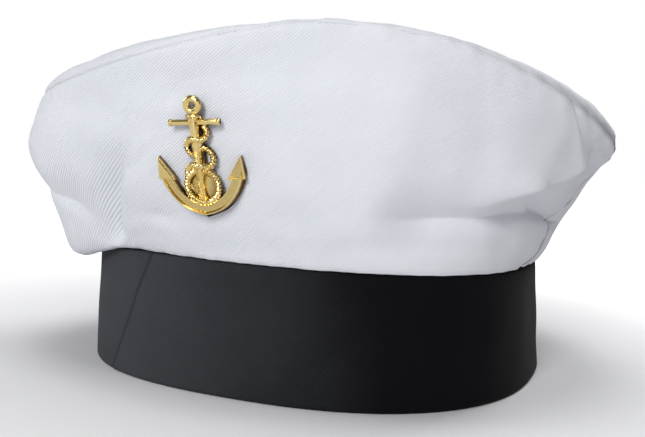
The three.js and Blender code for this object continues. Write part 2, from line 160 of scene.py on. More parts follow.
# x, y, length, width, lie in degrees and depth of each slack fold of the top panel, up if positive
TOP_FOLDS = [
    (-0.045, 0.030, 0.050, 0.012, 35, -0.0030),
    (-0.020, 0.052, 0.045, 0.010, 28, 0.0018),
    (0.050, 0.020, 0.042, 0.011, -40, -0.0026),
    (0.030, 0.070, 0.036, 0.009, -15, -0.0022),
    (-0.070, -0.020, 0.034, 0.010, 62, -0.0020),
    (0.064, -0.034, 0.030, 0.009, -66, -0.0016),
]

BADGE_AZIMUTH = -1.6  # where the anchor's point stands on the wall
BADGE_SHARE = 0.224
BADGE_TILT = 4.0
BADGE_REACH = 0.022  # the cloth within this distance of the badge's middle has to lie behind it
BADGE_MIDDLE = 0.0195
BADGE_CLEAR = 0.0003

CAMERA_AZIMUTH = 20.0
CAMERA_DISTANCE = 0.388
CAMERA_HEIGHT = 0.0824
CAMERA_LENS = 50.0
CAMERA_PITCH = -3.75
CAMERA_YAW = 0.79
CAMERA_ROLL = 3.72

PAINTED_LIGHT_AZIMUTH = math.radians(-50)  # the front left, towards the lamps on the left: the band's colour is painted paler there as painted light, and the twill's grooves get their deepest painted shade
PAINTED_LIGHT_TOWARDS = (math.sin(PAINTED_LIGHT_AZIMUTH), -math.cos(PAINTED_LIGHT_AZIMUTH), 0)
PAINTED_LIGHT_REACH = 0.105

FLOOR_RADIUS = 30.0
FLOOR_NEAR, FLOOR_FAR = 0.11, 0.5  # where the floor starts to whiten and where it is white
WORLD_STRENGTH = 0.10
LIT_POINT = Vector((0, 0, 0.08))

# azimuth, elevation, distance, size and power of each soft box
LIGHTS = {
    "key": (3, 20, 1.6, 0.5, 15),
    "top": (-10, 80, 1.6, 0.6, 6),
    "left": (-80, 20, 1.6, 0.8, 6),
    "right": (42, 1, 1.8, 0.4, 1.2),
    "back": (165, 30, 1.9, 0.7, 17),
}


# ------------------------------------------------------------------ the cap's surfaces

def outward(azimuth):
    """Level directions from the axis at azimuths."""
    turn = np.radians(azimuth)
    return np.stack([np.sin(turn), -np.cos(turn), np.zeros_like(turn)], -1)


def round_the_cap(column):
    """A column of SECTIONS as a smooth function of the azimuth, closed round the cap."""
    azimuths = np.concatenate([SECTIONS[-2:, 0] - 360, SECTIONS[:, 0], SECTIONS[:3, 0] + 360])
    values = np.concatenate([SECTIONS[-2:, column], SECTIONS[:, column], SECTIONS[:3, column]])
    slopes = (values[2:] - values[:-2]) / (azimuths[2:] - azimuths[:-2])

    def value(azimuth):
        turned = (azimuth - SECTIONS[0, 0]) % 360 + SECTIONS[0, 0]
        i = np.clip(np.searchsorted(azimuths, turned, side="right") - 1, 1, len(azimuths) - 3)
        span = azimuths[i + 1] - azimuths[i]
        s = (turned - azimuths[i]) / span
        here = (1 + 2 * s) * (1 - s) ** 2 * values[i] + s * (1 - s) ** 2 * span * slopes[i - 1]
        ahead = s * s * (3 - 2 * s) * values[i + 1] - s * s * (1 - s) * span * slopes[i]
        return here + ahead

    return value


rim_radius, rim_height, belly, sag, puff = (round_the_cap(column) for column in range(1, 6))


def band_radius(azimuth):
    """The radius of the band's foot, which is a squared oval."""
    across = np.abs(np.sin(np.radians(azimuth))) / BAND_HALF_WIDTH
    along = np.abs(np.cos(np.radians(azimuth))) / BAND_HALF_DEPTH
    return (across**BAND_SQUARENESS + along**BAND_SQUARENESS) ** (-1 / BAND_SQUARENESS)


def band_point(azimuth, height, depth):
    """A point of the band, at a height and a depth in from its outer face."""
    share = height / BAND_HEIGHT
    points = outward(azimuth) * (band_radius(azimuth) - BAND_LEAN * share - depth)[..., None]
    points[..., 0] += BAND_SHIFT[0] * share
    points[..., 1] += BAND_SHIFT[1] * share
    points[..., 2] = height
    return points


def smooth_through(points, steps):
    """Evenly stepped points on a smooth curve through points."""
    points = np.array(points, dtype=float)
    padded = np.vstack([2 * points[0] - points[1], points, 2 * points[-1] - points[-2]])
    along = np.linspace(0, len(points) - 1 - 1e-9, steps)
    i = along.astype(int)
    s = (along - i)[:, None]
    a, b, c, d = (padded[i + k] for k in range(4))
    return 0.5 * (2 * b + (c - a) * s + (2 * a - 5 * b + 4 * c - d) * s**2 + (3 * b - a - 3 * c + d) * s**3)


def flat_route(route):
    """A smooth route through (azimuth, share) points, on the flat cloth, and the azimuth it is centred on."""
    points = np.array(route, dtype=float)
    centre = points[:, 0].mean()
    flat = np.stack([np.radians(points[:, 0] - centre) * FOLD_RADIUS, points[:, 1] * FOLD_HEIGHT], -1)
    return smooth_through(flat, CREASE_STEPS), centre


def turned_from(azimuth, centre):
    """Degrees from a centre round to azimuths, the shorter way."""
    return (azimuth - centre + 180) % 360 - 180


def slack_fold(x, y, length, width, lie, deep):
    """The depth of a rounded fold at distances x and y from its middle."""
    cosine, sine = math.cos(math.radians(lie)), math.sin(math.radians(lie))
    along, across = (x * cosine + y * sine) / length, (y * cosine - x * sine) / width
    return deep * np.exp(-(along**2) - across**2)


def crease_depth(azimuth, share, route, depth, left, right, fade_in, fade_out):
    """A crease: sharp along its route, with a width of its own on each side."""
    line, centre = flat_route(route)
    x = np.radians(turned_from(azimuth, centre)) * FOLD_RADIUS
    y = share * FOLD_HEIGHT
    starts, steps = line[:-1], np.diff(line, axis=0)
    nearest = np.full(azimuth.shape, 1e9)
    side = np.zeros_like(nearest)
    passed = np.zeros_like(nearest)
    for k, (start, step) in enumerate(zip(starts, steps)):
        share_along = ((x - start[0]) * step[0] + (y - start[1]) * step[1]) / (step @ step)
        share_along = np.clip(share_along, 0, 1)
        off_x, off_y = x - start[0] - share_along * step[0], y - start[1] - share_along * step[1]
        distance = np.hypot(off_x, off_y)
        closer = distance < nearest
        nearest = np.where(closer, distance, nearest)
        side = np.where(closer, step[0] * off_y - step[1] * off_x, side)
        passed = np.where(closer, (k + share_along) / len(steps), passed)
    leftward = 0.5 + 0.5 * np.tanh(side / (np.hypot(*steps[0]) * CREASE_ROUND))
    width = right + (left - right) * leftward
    profile = np.exp(-(np.sqrt(nearest**2 + CREASE_ROUND**2) - CREASE_ROUND) / width)
    ends = np.clip(passed / fade_in, 0, 1), np.clip((1 - passed) / fade_out, 0, 1)
    return depth * profile * math.prod(end * end * (3 - 2 * end) for end in ends)


def fold_depth(azimuth, share):
    """How far folds and creases push the wall out, or pull it in."""
    depth = np.zeros_like(azimuth)
    for at_azimuth, at_share, *fold in FOLDS:
        x = np.radians(turned_from(azimuth, at_azimuth)) * FOLD_RADIUS
        depth += slack_fold(x, (share - at_share) * FOLD_HEIGHT, *fold)
    for crease in CREASES:
        depth += crease_depth(azimuth, share, *crease)
    return depth * (1 - (1 - share) ** HOLD) * (1 - share**HOLD)


def wall_surface(azimuth, share):
    """The outer face of the crown's wall: share 0 is its root on the band and 1 is the rim."""
    away = outward(azimuth)
    root = band_point(azimuth, np.full_like(azimuth, BAND_HEIGHT), -ROOT_PROUD)
    rim = away * rim_radius(azimuth)[..., None]
    rim[..., 2] = rim_height(azimuth)
    points = root + (rim - root) * share[..., None]
    points += away * (belly(azimuth) * np.sin(np.pi * share) + fold_depth(azimuth, share))[..., None]
    reach = share / SAG_SHARE
    points[..., 2] -= sag(azimuth) * reach * np.exp(1 - reach)
    return points


def top_surface(azimuth, share):
    """The outer face of the top panel: share 0 is its middle and 1 is the rim."""
    rolled = np.clip((share - 1 + SHOULDER) / SHOULDER, 0, 1)
    lift = puff(azimuth) * np.sqrt(1 - rolled**2)
    radius = rim_radius(azimuth) * share + 0.15 * puff(azimuth) * np.sin(np.pi * rolled)
    points = outward(azimuth) * radius[..., None]
    height = DOME_CENTRE + (rim_height(azimuth) - DOME_CENTRE) * share**3
    slack = np.zeros_like(share)
    for x, y, *fold in TOP_FOLDS:
        slack += slack_fold(points[..., 0] - x, points[..., 1] - y, *fold)
    points[..., 2] = height + lift * share**2 + slack * (1 - share**6)
    return points


def normals(surface, azimuth, share):
    """Unit normals of a surface, out of the wall and down into the top panel."""
    low, high = np.maximum(share - 0.004, 0), np.minimum(share + 0.004, 1)
    across = surface(azimuth + 0.5, share) - surface(azimuth - 0.5, share)
    cross = np.cross(across, surface(azimuth, high) - surface(azimuth, low))
    return cross / np.linalg.norm(cross, axis=-1, keepdims=True)


# ------------------------------------------------------------------ small unevenness of cloth

rng = np.random.default_rng(7)


def uneven(waves, shortest, longest):
    """A gentle random unevenness through space, about -1 to 1, with wavelengths in metres."""
    lengths = rng.uniform(shortest, longest, waves)
    directions = rng.normal(size=(waves, 3))
    directions /= np.linalg.norm(directions, axis=1, keepdims=True)
    phases = rng.uniform(0, math.tau, waves)

    def value(points):
        turns = points @ (directions / lengths[:, None]).T
        return np.sin(turns * math.tau + phases).sum(-1) / math.sqrt(waves)

    return value


broad_waves = uneven(12, 0.040, 0.090)
cloth_waves = uneven(16, 0.012, 0.040)
seam_puckers = uneven(12, 0.005, 0.014)
band_waves = uneven(10, 0.020, 0.070)

BROAD_DEPTH = 0.0007  # of the broad and the small unevenness
SMALL_DEPTH = 0.00028
CALM_EDGE = 0.012  # distance from an edge within which they die out

SEAM_DIP = 0.0008  # how far cloth is drawn in along a seam
SEAM_WIDTH = 0.0011
PUCKER_DEPTH = 0.00045
PUCKER_REACH = 0.005
SEAM_SHADE_WIDTH = 0.0012  # of the line painted dark in a seam: its thread, and painted shade in its groove
BAND_PULL = 0.45  # how firmly the band draws the wall in, against a side seam's 1
WALL_ROWS_PULL = 0.06
BAND_COLUMNS_PULL = 0.10


def drawn_in(distance, points, strength=1.0):
    """How far cloth is drawn in at a distance from a seam, with the puckers that its thread makes."""
    dip = SEAM_DIP * np.exp(-((distance / SEAM_WIDTH) ** 2))
    pucker = PUCKER_DEPTH * np.exp(-distance / PUCKER_REACH) * (1 + seam_puckers(points))
    return strength * (dip + pucker)


def seam_thread_and_shade(distance):
    """How dark a seam is painted at a distance from it: its thread, and painted shade in its groove."""
    return np.exp(-((distance / SEAM_SHADE_WIDTH) ** 2))


def round_a_side(azimuth, centre, reach):
    """1 at an azimuth, dying away to 0 round the cap."""
    return np.exp(-((turned_from(azimuth, centre) / reach) ** 2))


def rim_thread_and_shade(azimuth):
    """How dark the rim's seam is painted: a faint thread line all round, with painted shade most at the far
    right, which is turned from the lamps.
    """
    return 0.08 + 0.6 * round_a_side(azimuth, 92, 28)


def rim_pull(azimuth):
    """How firmly the rim's seam draws the cloth in: it is slack at the front left."""
    return 1 - 0.6 * round_a_side(azimuth, -42, 48)


# ------------------------------------------------------------------ cloth pieces

def finish_piece(mesh, name, slot, *cad_nodes):
    """Makes a piece of a mesh: it rides on the cap and stands for its CAD nodes, which it hides."""
    piece = bpy.data.objects.new(name, mesh)
    bpy.context.scene.collection.objects.link(piece)
    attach(piece, "root")
    if cad_nodes:
        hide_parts(*cad_nodes)
    return piece


def laid_grid(name, columns, rows, place, weave, thread_and_shade):
    """A grid of cloth laid in place. place, weave and the third function take shares across and up, from 0 to
    1: they give each point's place, its place along the threads and how dark its seam is painted: its thread
       and painted shade."""
    mesh = bpy.data.meshes.new(name)
    shape = bmesh.new()
    uv_layer = shape.loops.layers.uv.new("weave")
    bmesh.ops.create_grid(shape, x_segments=columns, y_segments=rows, size=0.5)
    shape.verts.ensure_lookup_table()
    flat = np.array([vert.co[:2] for vert in shape.verts]) + 0.5
    placed = place(flat[:, 0], flat[:, 1])
    threads = weave(flat[:, 0], flat[:, 1])
    darkness = thread_and_shade(flat[:, 0], flat[:, 1])
    dark_layer = shape.verts.layers.float.new("thread_and_shade")
    for face in shape.faces:
        for loop in face.loops:
            loop[uv_layer].uv = threads[loop.vert.index]
        face.smooth = True
    for vert, point, dark in zip(shape.verts, placed, darkness):
        vert.co = point
        vert[dark_layer] = dark
    bmesh.ops.remove_doubles(shape, verts=shape.verts, dist=1e-6)
    shape.to_mesh(mesh)
    shape.free()
    return mesh


def thicken(piece):
    """Gives a sheet of cloth its thickness, inwards."""
    wall = piece.modifiers.new("wall", "SOLIDIFY")
    wall.thickness = CLOTH
    wall.offset = -1


def side_seam(share):
    """The azimuth of the right side seam, which sweeps back as it rises."""
    return SIDE_SEAM_FOOT + SIDE_SEAM_SWEEP * (1 - (1 - share) ** 2)


def slant(azimuth):
    """Length of the wall from band to rim."""
    ends = [wall_surface(azimuth, np.full_like(azimuth, share)) for share in (0.0, 1.0)]
    return np.linalg.norm(ends[1] - ends[0], axis=-1)


def settled(points, normal, edge_distance):
    """Cloth points moved along the normal by the broad and the small unevenness, which dies out at edges."""
    free = np.clip(edge_distance / CALM_EDGE, 0, 1)
    move = free * (BROAD_DEPTH * broad_waves(points) + SMALL_DEPTH * cloth_waves(points))
    return points + normal * move[..., None]


def closer_at_ends(share, pull):
    """Even shares from 0 to 1 drawn towards both ends, where the seams need finer cloth."""
    return share - pull * np.sin(math.tau * share)


def wall_cloth(name, start, end, columns, rows):
    """A wall panel between two seams, whose edges are drawn in along them."""

    def at(across, up):
        up = closer_at_ends(up, WALL_ROWS_PULL)
        return start(up) + (end(up) - start(up)) * across, up

    def to_seams(azimuth, up):
        """Distances to the nearer side seam, to the band and to the rim."""
        to_side = np.radians(np.minimum(azimuth - start(up), end(up) - azimuth)) * FOLD_RADIUS
        return to_side, up * slant(azimuth), (1 - up) * slant(azimuth)

    def weave(across, up):
        azimuth, up = at(across, up)
        return np.stack([np.radians(azimuth) * FOLD_RADIUS, up * slant(azimuth)], -1)

    def place(across, up):
        azimuth, up = at(across, up)
        points = wall_surface(azimuth, up)
        normal = normals(wall_surface, azimuth, up)
        to_side, to_band, to_rim = to_seams(azimuth, up)
        inward = drawn_in(to_side, points) + drawn_in(to_band, points, BAND_PULL)
        inward += drawn_in(to_rim, points, rim_pull(azimuth))
        edge = np.minimum(to_band, to_rim)
        return settled(points, normal, edge) - normal * inward[..., None]

    def thread_and_shade(across, up):
        azimuth, up = at(across, up)
        to_side, _, to_rim = to_seams(azimuth, up)
        return seam_thread_and_shade(to_side) + rim_thread_and_shade(azimuth) * seam_thread_and_shade(to_rim)

    return laid_grid(name, columns, rows, place, weave, thread_and_shade)


def front_panel():
    mesh = wall_cloth("front_panel", lambda up: -side_seam(up), side_seam, 420, 120)
    return finish_piece(mesh, "front_panel", "white_twill", "side_panel_front")


def back_panel():
    mesh = wall_cloth("back_panel", side_seam, lambda up: 360 - side_seam(up), 300, 84)
    return finish_piece(mesh, "back_panel", "white_twill", "side_panel_back")


def top_panel():
    """The domed panel, from a square of cloth rounded to the rim so that it has no pole."""

    def disc(across, up):
        x, y = 2 * across - 1, 2 * up - 1
        round_x, round_y = x * np.sqrt(1 - y * y / 2), y * np.sqrt(1 - x * x / 2)
        azimuth = np.degrees(np.arctan2(round_x, -round_y))
        return azimuth, np.minimum(1, np.hypot(round_x, round_y))

    def weave(across, up):
        azimuth, share = disc(across, up)
        return (outward(azimuth) * (share * TOP_REACH)[..., None])[..., :2]

    def place(across, up):
        azimuth, share = disc(across, up)
        points = top_surface(azimuth, share)
        normal = -normals(top_surface, azimuth, np.maximum(share, 0.02))
        to_rim = (1 - share) * rim_radius(azimuth)
        inward = drawn_in(to_rim, points, rim_pull(azimuth))
        return settled(points, normal, to_rim) - normal * inward[..., None]

    def thread_and_shade(across, up):
        azimuth, share = disc(across, up)
        return rim_thread_and_shade(azimuth) * seam_thread_and_shade((1 - share) * rim_radius(azimuth))

    mesh = laid_grid("top_panel", 200, 200, place, weave, thread_and_shade)
    return finish_piece(mesh, "top_panel", "white_twill", "crown_top")


# ------------------------------------------------------------------ band

def band_seam_azimuth(height):
    """The azimuth of the band's slanting seam at a height."""
    share = height / BAND_HEIGHT
    return BAND_SEAM["foot"] + (BAND_SEAM["top"] - BAND_SEAM["foot"]) * share


def band_section(round_it):
    """Height and depth of points round the band's section: a flat strip with rounded edges."""
    radius = BAND_THICKNESS / 2
    straight = BAND_HEIGHT - 2 * radius
    half_turn = math.pi * radius
    around = 2 * straight + 2 * half_turn
    way = (round_it * around) % around
    up_outside = way < straight
    over = (way >= straight) & (way < straight + half_turn)
    down_inside = (way >= straight + half_turn) & (way < 2 * straight + half_turn)
    angle_over = (way - straight) / radius
    angle_under = (way - 2 * straight - half_turn) / radius
    height = np.select(
        [up_outside, over, down_inside],
        [
            radius + way,
            radius + straight + radius * np.sin(angle_over),
            2 * straight + half_turn + radius - way,
        ],
        radius - radius * np.sin(angle_under),
    )
    depth = np.select(
        [up_outside, over, down_inside],
        [0 * way, radius - radius * np.cos(angle_over), 0 * way + BAND_THICKNESS],
        radius + radius * np.cos(angle_under),
    )
    return height, depth, way


def band_cloth():
    """The band: a strip of stiff twill closed by a slanting lapped seam."""
    perimeter = math.tau * (BAND_HALF_WIDTH + BAND_HALF_DEPTH) / 2

    def weave(across, up):
        _, _, way = band_section(np.minimum(up, 0.99999))  # short of 1, where it would start again at 0
        return np.stack([across * perimeter, way], -1)

    def place(across, up):
        height, depth, _ = band_section(up)
        share = height / BAND_HEIGHT
        past_seam = 360 * closer_at_ends(across, BAND_COLUMNS_PULL)
        azimuth = band_seam_azimuth(height) + past_seam
        points = band_point(azimuth, height, depth)
        outside = 1 - np.clip(depth / BAND_THICKNESS, 0, 1)
        lap = np.exp(-past_seam / BAND_SEAM["ease"]) + np.exp((past_seam - 360) / BAND_SEAM["step"])
        from_seam = np.minimum(past_seam, 360 - past_seam)
        groove = BAND_SEAM["groove"] * np.exp(-((from_seam / BAND_SEAM["groove_reach"]) ** 2))
        wave = BAND_WAVE * band_waves(points)
        move = (BAND_SEAM["lap"] * lap - groove + wave * np.sin(math.pi * share)) * outside
        points += outward(azimuth) * move[..., None]
        return points

    # the lapped seam painted darker: its thread, and painted shade beside the lap
    def thread_and_shade(across, up):
        spread = closer_at_ends(across, BAND_COLUMNS_PULL)
        from_seam = np.radians(360 * np.minimum(spread, 1 - spread)) * BAND_HALF_WIDTH
        return 0.5 * seam_thread_and_shade(1.6 * from_seam)

    mesh = laid_grid("band", 420, 96, place, weave, thread_and_shade)
    return finish_piece(mesh, "band", "black_twill", "head_band")


# ------------------------------------------------------------------ anchor badge

MM = 0.001  # the badge is drawn in millimetres: x across, y up from its point and z out from the cloth
ANCHOR_TIP = (14.2, 19.8)
RING_HEIGHT, RING_OUT, RING_RADIUS, RING_WIRE = 37.2, 1.35, 2.08, 1.13
NECK_LENGTH, NECK_RADII, NECK_BITE = 2.4, (1.75, 1.15), 0.4
STOCK_HEIGHT, STOCK_OUT, STOCK_HALF_LENGTH, STOCK_RADIUS = 31.8, 1.55, 8.7, 1.05
STOCK_END, STOCK_END_GROWTH = 0.9, 1.18
SHANK_FOOT, SHANK_TOP, SHANK_GROWTH = 6.8, 33.6, 1.08
COIL_HEIGHT, COIL_OUT, COIL_RADIUS = 10.8, 1.45, 5.5
DISC_OUT, DISC_FLATNESS = 0.2, 0.36
ROSETTE = (-3.1, COIL_HEIGHT + 0.2, 2.05)
ROSETTE_RINGS = ((0.95, 0.2), (0.42, 0.22))
ROPE_RADIUS, COIL_ROPE_RADIUS = 1.08, 1.08 * 1.12
ROPE_STRANDS, ROPE_LAY = 3, 3.1  # strands, and the length in which one goes once round
ROPE_CORE, ROPE_SWELL = 0.70, 0.36  # reach of a rope between its strands, and how much further they swell
KNOT_HEIGHT, KNOT_RADIUS, KNOT_ROPE = 33.55, 1.75, 0.5
KNOT_ENDS, KNOT_END_RADIUS = ((-2.35, 33.6, 1.2), (2.3, 33.2, 1.2)), 0.72
SHARP_EDGE = 38.0  # degrees

# points of the rope's route round the shank
ROPE_ROUTE = [
    (2.8, 30.8, 1.1), (3.7, 28.4, 1.1), (2.4, 26.5, 1.9), (0.4, 26.6, 3.1), (-2.4, 26.2, 2.0),
    (-3.9, 24.1, 1.1), (-3.0, 21.6, 1.0), (-0.6, 21.2, 0.9), (1.8, 23.2, 0.9), (3.7, 22.3, 1.0),
    (4.8, 19.8, 1.1), (3.6, 17.6, 1.8), (0.6, 18.0, 3.1), (-2.6, 17.9, 2.2), (-4.6, 16.3, 1.3),
    (-5.0, 13.6, 1.2),
]


def badge_frame():
    """The badge's own frame: x to the right, y up from the anchor's point and z out from the cloth."""

    def wall(azimuth, share):
        return wall_surface(np.array([azimuth]), np.array([share]))[0]

    foot = wall(BADGE_AZIMUTH, BADGE_SHARE)
    middle_share = BADGE_SHARE + BADGE_MIDDLE / FOLD_HEIGHT
    out = normals(wall_surface, np.array([BADGE_AZIMUTH]), np.array([middle_share]))[0]
    up = np.array([0, 0, 1.0]) - out * out[2]
    up /= np.linalg.norm(up)
    tilt = math.radians(BADGE_TILT)
    up = up * math.cos(tilt) + np.cross(out, up) * math.sin(tilt)
    right = np.cross(up, out)
    middle = foot + up * BADGE_MIDDLE
    azimuths, shares = np.meshgrid(BADGE_AZIMUTH + np.arange(-12, 13), np.arange(0, 1.0001, 0.04))
    offsets = wall_surface(azimuths, shares) - middle
    heights = offsets @ out
    away = np.sqrt(np.maximum(0, (offsets**2).sum(-1) - heights**2))
    foot = foot + out * (heights[away < BADGE_REACH].max() + BADGE_CLEAR)
    return Matrix(np.vstack([np.stack([right, up, out, foot], 1), [0, 0, 0, 1]]).tolist())


def strip_of(stations, section):
    """A closed bar from a grid: stations along it, and section(place along, place round) gives points."""
    shape = bmesh.new()
    rounds = len(section(0.0))
    bmesh.ops.create_grid(shape, x_segments=stations, y_segments=rounds, size=0.5)
    shape.verts.ensure_lookup_table()
    for vert in shape.verts:
        ring = section(min(1.0, max(0.0, vert.co.x + 0.5)))
        vert.co = ring[round((vert.co.y + 0.5) * rounds) % rounds]
    bmesh.ops.remove_doubles(shape, verts=shape.verts, dist=1e-4)
    open_edges = [edge for edge in shape.edges if edge.is_boundary]
    if open_edges:
        bmesh.ops.holes_fill(shape, edges=open_edges, sides=0)
    bmesh.ops.recalc_face_normals(shape, faces=shape.faces)
    return shape


def crescent():
    """Arms of the anchor: a thick crescent with a raised rim outside and a hollowed face."""
    outer = [
        (0, 0), (3.4, 1.1), (6.8, 2.6), (9.9, 5.2), (12.6, 8.8), (14.3, 12.4), (14.9, 15.4), ANCHOR_TIP,
    ]
    inner = [
        (0, 5.6), (2.8, 5.9), (5.4, 7.2), (7.6, 9.3), (9.2, 11.6), (10.1, 13.4), (11.4, 15.6), ANCHOR_TIP,
    ]
    # share of the way across the arm, and height, of each point of its section
    section = [
        (0, 0), (0.02, 0.7), (0.20, 1.5), (0.25, 2.9), (0.32, 2.9),
        (0.40, 2.0), (0.80, 1.95), (0.93, 2.2), (1, 0),
    ]
    steps, thinning_steps = 40, 9
    outer_line, inner_line = smooth_through(outer, steps + 1), smooth_through(inner, steps + 1)

    def ring(along):
        place = abs(2 * along - 1) * steps
        i = min(steps - 1, int(place))
        side = math.copysign(1, along - 0.5)
        edge = outer_line[i] + (outer_line[i + 1] - outer_line[i]) * (place - i)
        face = inner_line[i] + (inner_line[i + 1] - inner_line[i]) * (place - i)
        thin = 0.35 + 0.65 * min(1, (steps - place) / thinning_steps)
        points = []
        for share, height in section:
            x, y = edge + (face - edge) * share
            points.append((side * x, y, height * thin))
        return points

    return strip_of(120, ring)


def fluke(side):
    """The barbed end of an arm: a three-sided palm with a hollowed face."""
    shape = bmesh.new()
    corners = [(14.3, 20.9), (8.9, 13.2), (14.9, 13.4)]
    verts = [shape.verts.new((side * x, y, 0.3)) for x, y in corners]
    face = shape.faces.new(verts)
    raised = bmesh.ops.extrude_face_region(shape, geom=[face])
    top = [item for item in raised["geom"] if isinstance(item, bmesh.types.BMVert)]
    bmesh.ops.translate(shape, verts=top, vec=(0, 0, 2.2))
    top_face = [item for item in raised["geom"] if isinstance(item, bmesh.types.BMFace)]
    bmesh.ops.inset_region(shape, faces=top_face, thickness=0.5, depth=0)
    bmesh.ops.inset_region(shape, faces=top_face, thickness=0.45, depth=-0.55)
    bmesh.ops.recalc_face_normals(shape, faces=shape.faces)
    return soft_edges(shape, 0.16)


def soft_edges(shape, width):
    """Rounds every edge, and clears the slivers that are left where there was no room."""
    bmesh.ops.bevel(
        shape, geom=list(shape.edges), offset=width, segments=2, profile=0.5, affect="EDGES",
        clamp_overlap=True, material=-1,
    )
    bmesh.ops.dissolve_degenerate(shape, dist=0.002, edges=shape.edges)
    return shape


def shank():
    """The upright: a bar whose section of (x, z) points widens towards its foot."""
    section = [(-1.85, 0.2), (-1.6, 2.4), (0.55, 3.9), (1.05, 3.85), (1.9, 0.2)]

    def ring(along):
        factor = SHANK_GROWTH + (1 - SHANK_GROWTH) * along
        return [(x * factor, SHANK_FOOT + (SHANK_TOP - SHANK_FOOT) * along, z) for x, z in section]

    return soft_edges(strip_of(2, ring), 0.14)


def stock():
    """A six-sided cross bar with a collar at each end."""
    shape = bmesh.new()
    end_radius = STOCK_RADIUS * STOCK_END_GROWTH
    for length, radius, at in (
        (2 * STOCK_HALF_LENGTH, STOCK_RADIUS, 0),
        (STOCK_END, end_radius, STOCK_HALF_LENGTH - STOCK_END / 2),
        (STOCK_END, end_radius, STOCK_END / 2 - STOCK_HALF_LENGTH),
    ):
        place = Matrix.Translation((at, STOCK_HEIGHT, STOCK_OUT)) @ Matrix.Rotation(math.pi / 2, 4, "Y")
        bmesh.ops.create_cone(
            shape, cap_ends=True, segments=6, radius1=radius, radius2=radius, depth=length, matrix=place,
        )
    return soft_edges(shape, 0.12)


def wire_ring(radius, wire, segments, steps, centre):
    """A ring of round wire that lies flat about a centre."""
    shape = bmesh.new()
    place = Matrix.Translation((radius, 0, 0)) @ Matrix.Rotation(math.pi / 2, 4, "X")
    bmesh.ops.create_circle(shape, segments=segments, radius=wire, matrix=place)
    bmesh.ops.spin(
        shape, geom=list(shape.verts) + list(shape.edges), cent=(0, 0, 0), axis=(0, 0, 1),
        angle=math.tau, steps=steps, use_merge=True,
    )
    bmesh.ops.recalc_face_normals(shape, faces=shape.faces)
    bmesh.ops.translate(shape, verts=shape.verts, vec=centre)
    return shape


def ring_and_neck():
    """The ring at the top, and the tapered neck under it."""
    shape = wire_ring(RING_RADIUS, RING_WIRE, 24, 48, (0, RING_HEIGHT, RING_OUT))
    neck_height = RING_HEIGHT - RING_RADIUS - RING_WIRE - NECK_BITE
    place = Matrix.Translation((0, neck_height, RING_OUT)) @ Matrix.Rotation(-math.pi / 2, 4, "X")
    bmesh.ops.create_cone(
        shape, cap_ends=True, segments=20, radius1=NECK_RADII[0], radius2=NECK_RADII[1], depth=NECK_LENGTH,
        matrix=place,
    )
    return shape


def laid_rope(route, radius, closed=False):
    """A rope of twisted strands along a route of evenly stepped points."""
    count = len(route)
    ahead = np.roll(route, -1, axis=0) if closed else np.vstack([route[1:], 2 * route[-1] - route[-2]])
    behind = np.roll(route, 1, axis=0) if closed else np.vstack([2 * route[0] - route[1], route[:-1]])
    tangent = ahead - behind
    tangent /= np.linalg.norm(tangent, axis=1, keepdims=True)
    aside = np.cross(tangent, (0, 0, 1.0))
    aside /= np.linalg.norm(aside, axis=1, keepdims=True)
    over = np.cross(aside, tangent)
    travelled = np.concatenate([[0], np.cumsum(np.linalg.norm(np.diff(route, axis=0), axis=1))])
    turns = travelled / ROPE_LAY
    if closed:
        whole = travelled[-1] + np.linalg.norm(route[0] - route[-1])
        turns = travelled / whole * round(whole / ROPE_LAY * ROPE_STRANDS) / ROPE_STRANDS
    rounds = 18
    stations = count if closed else count - 1

    def ring(along):
        i = round(along * stations) % count
        points = []
        for k in range(rounds):
            angle = math.tau * k / rounds
            lobe = abs(math.cos(ROPE_STRANDS / 2 * (angle - math.tau * turns[i])))
            reach = radius * (ROPE_CORE + ROPE_SWELL * lobe**0.8)
            points.append(route[i] + reach * (math.cos(angle) * aside[i] + math.sin(angle) * over[i]))
        return points

    return strip_of(stations, ring)


def coil():
    """The rope's coil: a laid ring on a domed disc, with a small rosette."""
    angles = np.linspace(0, math.tau, 150, endpoint=False)
    x, y = COIL_RADIUS * np.cos(angles), COIL_HEIGHT + COIL_RADIUS * np.sin(angles)
    shape = laid_rope(np.stack([x, y, 0 * angles + COIL_OUT], -1), COIL_ROPE_RADIUS, closed=True)
    disc = bmesh.new()
    place = Matrix.Translation((0, COIL_HEIGHT, DISC_OUT)) @ Matrix.Diagonal((1, 1, DISC_FLATNESS, 1))
    bmesh.ops.create_uvsphere(disc, u_segments=40, v_segments=12, radius=COIL_RADIUS, matrix=place)
    join_into(shape, disc)
    for radius, wire in ROSETTE_RINGS:
        join_into(shape, wire_ring(radius, wire, 8, 20, ROSETTE))
    return shape


def knot():
    """A turn of thin rope round the neck, and its two small ends."""
    angles = np.linspace(0, math.tau, 48, endpoint=False)
    x, y = KNOT_RADIUS * np.cos(angles), KNOT_HEIGHT + 0.5 * np.sin(angles)
    shape = laid_rope(np.stack([x, y, 1.5 + 1.5 * np.sin(angles)], -1), KNOT_ROPE, closed=True)
    for end in KNOT_ENDS:
        bmesh.ops.create_uvsphere(
            shape, u_segments=14, v_segments=10, radius=KNOT_END_RADIUS, matrix=Matrix.Translation(end),
        )
    return shape


def join_into(shape, extra):
    """Adds another bmesh's faces to a shape, and frees it."""
    mesh = bpy.data.meshes.new("part")
    extra.to_mesh(mesh)
    extra.free()
    shape.from_mesh(mesh)
    bpy.data.meshes.remove(mesh)


